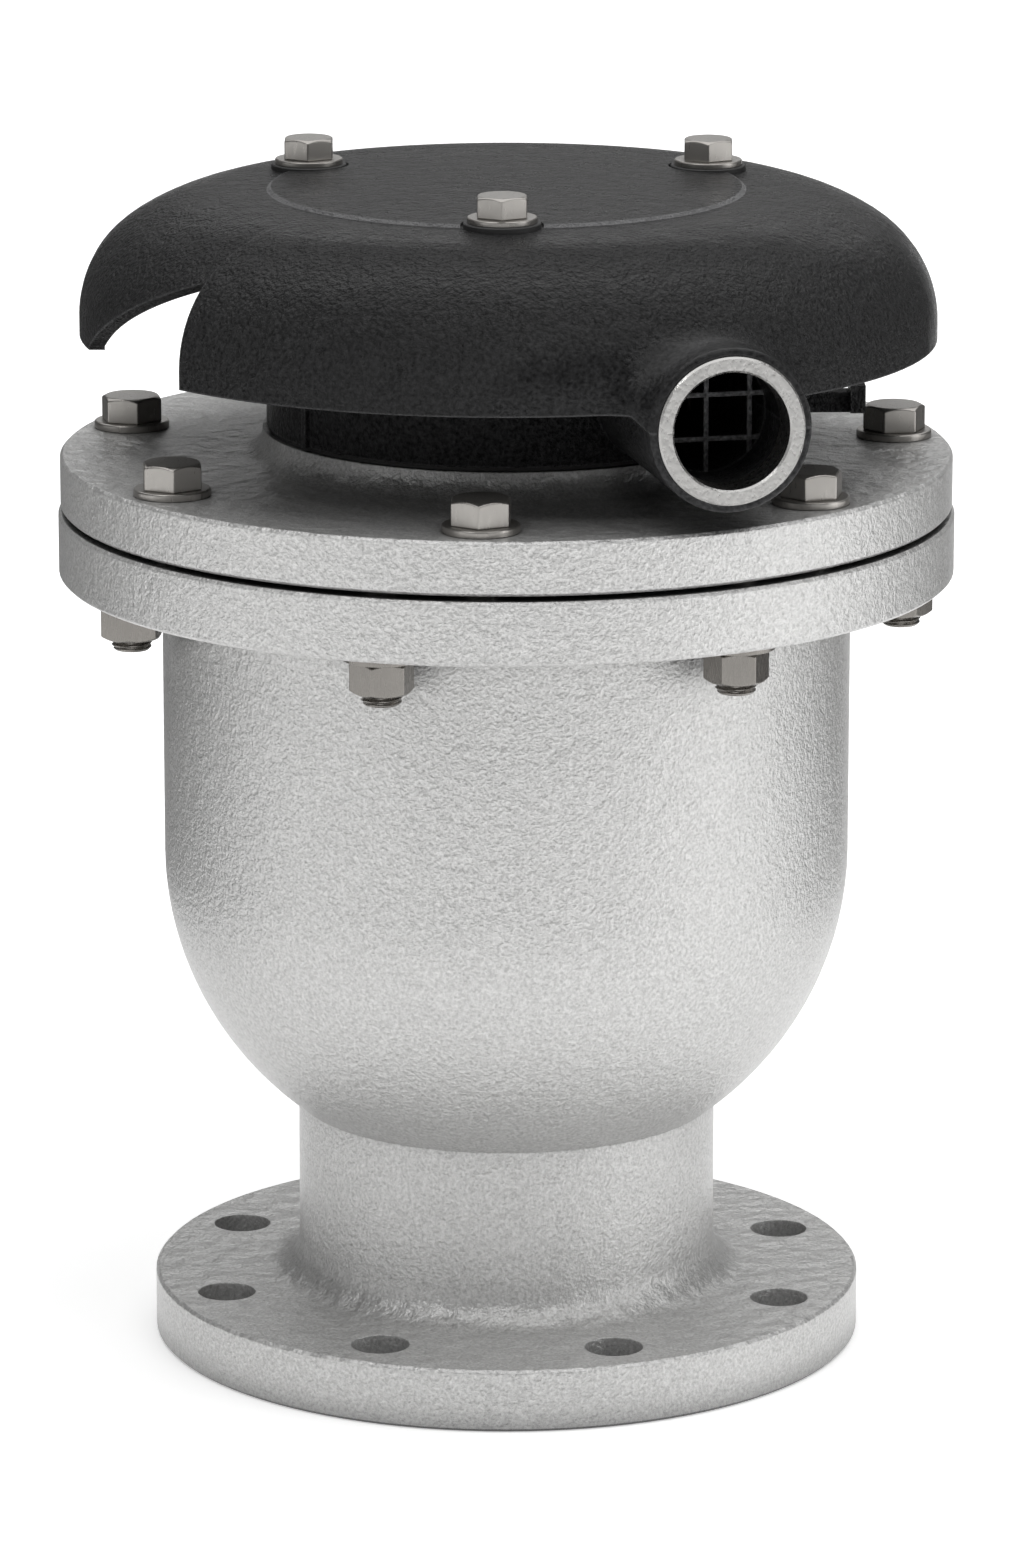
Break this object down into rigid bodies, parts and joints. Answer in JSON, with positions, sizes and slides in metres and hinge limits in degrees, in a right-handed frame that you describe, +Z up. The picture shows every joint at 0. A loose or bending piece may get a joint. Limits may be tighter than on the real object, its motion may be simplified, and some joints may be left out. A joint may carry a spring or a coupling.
{
  "type": "kinetic air valve",
  "caption": "Flanged cast air valve with a float inside, a bolted cover and a black moulded hood with a side window and a metal-ringed nozzle.",
  "frame": {"origin": "centre of the connection flange's underside, on the valve's axis", "axes": "+Z up along the valve's axis, -Y towards the front, where the picture's camera stands"},
  "size_m": [0.3555, 0.3554, 0.479],
  "materials": {
    "cast_paint": "hammered silver-grey paint over cast iron",
    "black_plastic": "charcoal-black moulded plastic with a fine leathery grain",
    "stainless": "bright stainless steel, turned and drawn",
    "bright_ring": "brushed bright metal",
    "rubber": "black rubber",
    "brass": "turned brass"
  },
  "bodies": {
    "valve": {"body": "cast_paint", "cover": "cast_paint", "cover_gasket": "rubber", "orifice_seal": "rubber", "foot_gasket": "rubber", "rubber_washers": "rubber", "orifice_seat": "stainless", "seal_clamp_ring": "stainless", "clamp_screws": "stainless", "lower_guide": "stainless", "upper_guide": "stainless", "guide_snap_ring": "stainless", "lower_bush": "brass", "upper_bush": "brass", "post_inserts": "brass", "screen": "stainless", "base_screws": "stainless", "hood_base": "black_plastic", "hood_cover": "black_plastic", "nozzle_grille": "black_plastic", "nozzle_ring": "bright_ring", "hood_washers": "stainless", "hood_bolts": "stainless", "cover_washers": "stainless", "cover_screws": "stainless", "cover_studs": "stainless", "stud_washers": "stainless", "stud_nuts": "stainless"},
    "float": {"float_upper_shell": "stainless", "float_lower_shell": "stainless", "float_stem": "stainless", "stem_washers": "stainless", "stem_nuts": "stainless"}
  },
  "joints": [
    {"name": "float_slide", "type": "slide", "parent": "valve", "child": "float", "axis": [0, 0, 1], "range_m": [0, 0.045]}
  ]
}
